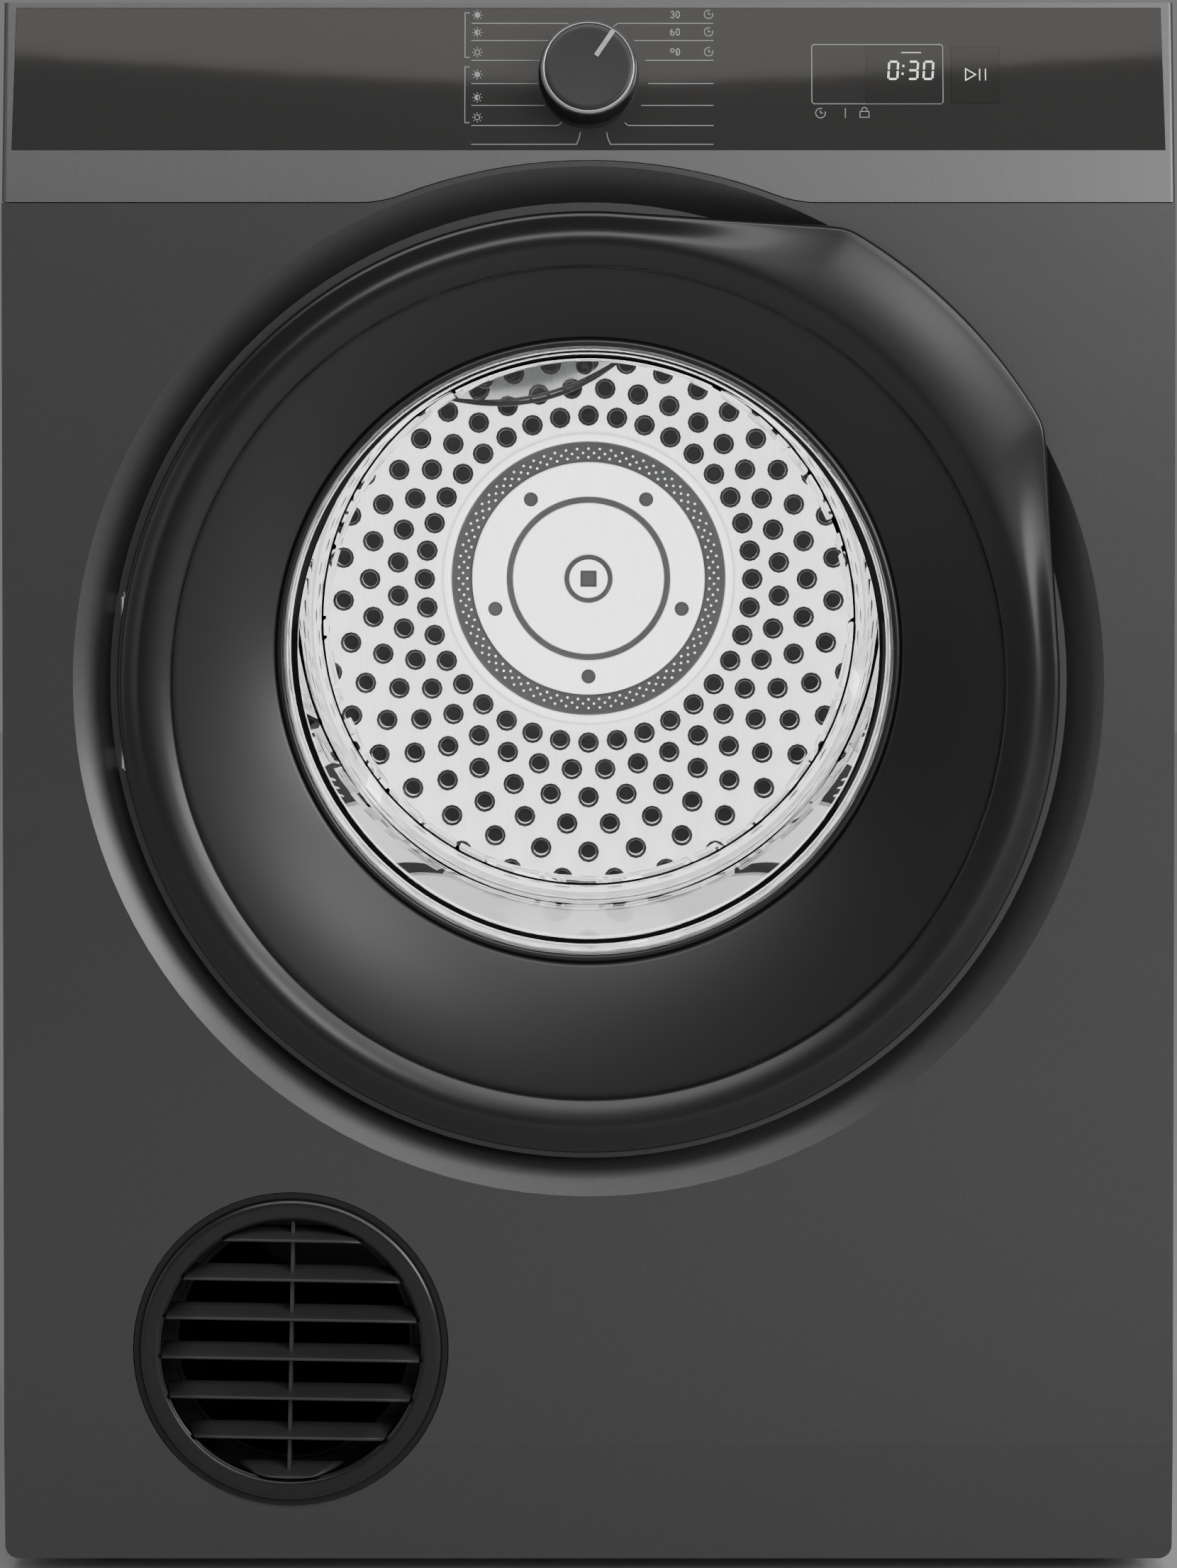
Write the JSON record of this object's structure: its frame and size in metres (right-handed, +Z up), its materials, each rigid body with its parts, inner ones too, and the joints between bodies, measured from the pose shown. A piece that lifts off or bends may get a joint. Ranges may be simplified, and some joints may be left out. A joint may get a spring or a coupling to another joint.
{
  "type": "clothes dryer",
  "caption": "Free-standing front-loading clothes dryer with a round bowl door on a side hinge, a perforated drum, a leaning control fascia and a round front exhaust vent.",
  "frame": {"origin": "on the floor, under the middle of the whole dryer", "axes": "+X to the right of someone facing the door, +Y from the front to the back, +Z up"},
  "size_m": [0.6, 0.5829, 0.81],
  "materials": {
    "painted_panel": "dark metallic grey baked paint, satin",
    "zinc_sheet": "zinc coated sheet steel",
    "satin_charcoal": "satin charcoal moulded plastic",
    "gloss_black": "gloss black",
    "smoked_window": "smoked clear window",
    "circuit_board": "resist coated board with components",
    "black_plastic": "fine textured black plastic",
    "grey_felt": "pressed felt",
    "white_plastic": "moulded pale plastic",
    "bright_steel": "bright plated steel",
    "motor_steel": "painted motor frame",
    "belt_rubber": "black rubber",
    "clear_glass": "clear moulded glass",
    "drum_steel": "brushed stainless sheet",
    "filter_mesh": "fine perforated sheet",
    "satin_grey": "satin metallic grey"
  },
  "bodies": {
    "cabinet": {"front_panel": "painted_panel", "fascia_housing": "satin_charcoal", "fascia_overlay": "gloss_black", "display_window": "smoked_window", "start_window": "smoked_window", "control_board": "circuit_board", "selector_switch": "black_plastic", "left_side_panel": "painted_panel", "right_side_panel": "painted_panel", "top_panel": "painted_panel", "rear_panel": "zinc_sheet", "inlet_gland": "black_plastic", "base_tray": "zinc_sheet", "front_bulkhead": "zinc_sheet", "front_felt": "grey_felt", "rear_bulkhead": "painted_panel", "rear_bearing": "black_plastic", "rear_felt": "grey_felt", "hinge_plate": "bright_steel", "latch_housing": "black_plastic", "vent_collar": "black_plastic", "exhaust_duct": "black_plastic", "blower_housing": "white_plastic", "blower_cover": "zinc_sheet", "heater_housing": "zinc_sheet", "heater_element": "bright_steel", "motor": "motor_steel", "motor_bracket": "zinc_sheet", "drum_belt": "belt_rubber", "fan_belt": "belt_rubber", "rear_screws": "bright_steel"},
    "door": {"door_ring": "satin_charcoal", "door_funnel": "gloss_black", "door_bowl": "clear_glass", "door_back_frame": "white_plastic", "door_gasket": "belt_rubber", "hinge_leaf": "bright_steel", "hinge_pin": "bright_steel", "latch_hook": "bright_steel"},
    "drum": {"drum_shell": "drum_steel", "drum_front_cone": "drum_steel", "drum_back_plate": "drum_steel", "drum_lifters": "white_plastic"},
    "filter": {"lint_filter": "white_plastic", "filter_mesh": "filter_mesh"},
    "motor_rotor": {"motor_shaft": "bright_steel", "motor_pulleys": "bright_steel"},
    "fan": {"fan_wheel": "black_plastic", "fan_shaft": "bright_steel"},
    "idler": {"idler_arm": "zinc_sheet"},
    "idler_wheel": {"idler_pulley": "white_plastic"},
    "knob": {"selector_knob": "satin_grey", "knob_pointer": "bright_steel"},
    "vent": {"vent_ring": "satin_charcoal", "vent_louvre": "satin_charcoal"},
    "latch": {"latch_bolt": "white_plastic"},
    "foot_fl": {"foot_front_left": "black_plastic"},
    "foot_fr": {"foot_front_right": "black_plastic"},
    "foot_rl": {"foot_rear_left": "black_plastic"},
    "foot_rr": {"foot_rear_right": "black_plastic"}
  },
  "joints": [
    {"name": "door_hinge", "type": "hinge", "parent": "cabinet", "child": "door", "pos_m": [-0.236, -0.27455, 0.4615], "axis": [0, 0, -1], "range_deg": [0, 115]},
    {"name": "drum_spin", "type": "hinge", "parent": "cabinet", "child": "drum", "pos_m": [0, 0.02445, 0.497], "axis": [0, 1, 0], "continuous": true},
    {"name": "filter_slide", "type": "slide", "parent": "drum", "child": "filter", "axis": [0, -1, 0], "range_m": [0, 0.1]},
    {"name": "motor_spin", "type": "hinge", "parent": "cabinet", "child": "motor_rotor", "pos_m": [0.12, 0.02445, 0.112], "axis": [0, 1, 0], "continuous": true},
    {"name": "fan_spin", "type": "hinge", "parent": "cabinet", "child": "fan", "pos_m": [0, 0.24445, 0.497], "axis": [0, 1, 0], "continuous": true},
    {"name": "idler_swing", "type": "hinge", "parent": "cabinet", "child": "idler", "pos_m": [0.06, 0.03845, 0.075], "axis": [0, -1, 0], "range_deg": [0, 12], "stiffness_Nm_per_rad": 5, "springref_deg": -11.46},
    {"name": "idler_spin", "type": "hinge", "parent": "idler", "child": "idler_wheel", "pos_m": [-0.00176, 0.02445, 0.15146], "axis": [0, 1, 0], "continuous": true},
    {"name": "knob_turn", "type": "hinge", "parent": "cabinet", "child": "knob", "pos_m": [0, -0.26687, 0.77263], "axis": [0, -0.9914, 0.1305], "continuous": true},
    {"name": "vent_turn", "type": "hinge", "parent": "cabinet", "child": "vent", "pos_m": [-0.1528, -0.27555, 0.1186], "axis": [0, -1, 0], "continuous": true},
    {"name": "latch_slide", "type": "slide", "parent": "cabinet", "child": "latch", "axis": [-1, 0, 0], "range_m": [0, 0.0035], "stiffness_N_per_m": 500, "springref_m": -0.002},
    {"name": "foot_fl_turn", "type": "hinge", "parent": "cabinet", "child": "foot_fl", "pos_m": [-0.25, -0.21555, 0.01], "axis": [0, 0, 1], "continuous": true},
    {"name": "foot_fr_turn", "type": "hinge", "parent": "cabinet", "child": "foot_fr", "pos_m": [0.25, -0.21555, 0.01], "axis": [0, 0, 1], "continuous": true},
    {"name": "foot_rl_turn", "type": "hinge", "parent": "cabinet", "child": "foot_rl", "pos_m": [-0.25, 0.23145, 0.01], "axis": [0, 0, 1], "continuous": true},
    {"name": "foot_rr_turn", "type": "hinge", "parent": "cabinet", "child": "foot_rr", "pos_m": [0.25, 0.23145, 0.01], "axis": [0, 0, 1], "continuous": true}
  ],
  "couplings": [
    {"joint": "motor_spin", "follows": "drum_spin", "ratio": 25.39},
    {"joint": "fan_spin", "follows": "drum_spin", "ratio": 15.79},
    {"joint": "idler_spin", "follows": "drum_spin", "ratio": -18.56}
  ]
}
